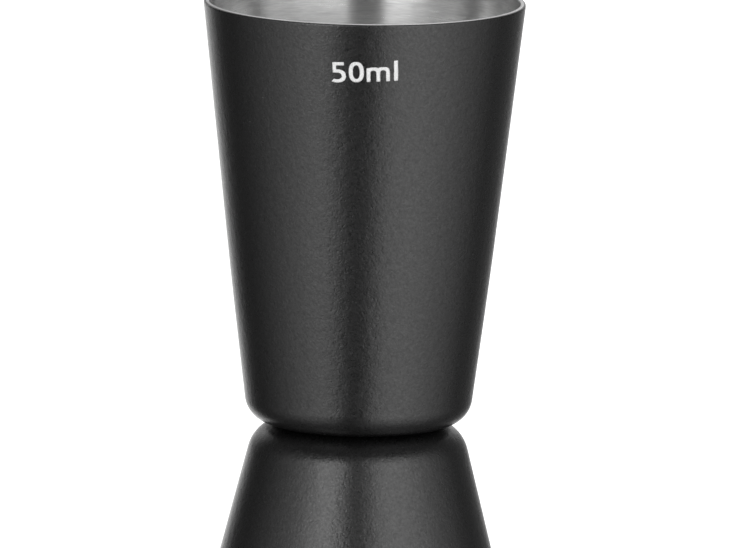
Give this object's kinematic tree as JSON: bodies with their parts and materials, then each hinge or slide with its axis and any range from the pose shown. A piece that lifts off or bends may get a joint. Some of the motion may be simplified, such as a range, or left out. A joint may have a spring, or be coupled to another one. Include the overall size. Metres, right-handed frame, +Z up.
{
  "type": "bar jigger",
  "caption": "Double-ended bar jigger: a tapered cup above a shorter, steeper inverted cup, joined base to base, with bare steel insides, a black outer coating and small etched capacity marks.",
  "frame": {"origin": "centre of the lower cup's rim, in the plane that the jigger stands on", "axes": "+Z up along the common axis of both cups, -Y towards the side that carries the capacity marks"},
  "size_m": [0.0418, 0.0418, 0.0849],
  "materials": {
    "cup_steel": "brushed around the axis inside, rounded rims",
    "weld_steel": "as welded, hidden between the bases",
    "black_coating": "satin black powder coating with a fine orange peel"
  },
  "bodies": {
    "root": {"upper_cup": "cup_steel", "lower_cup": "cup_steel", "spot_welds": "weld_steel", "upper_coating": "black_coating", "lower_coating": "black_coating"}
  },
  "joints": []
}
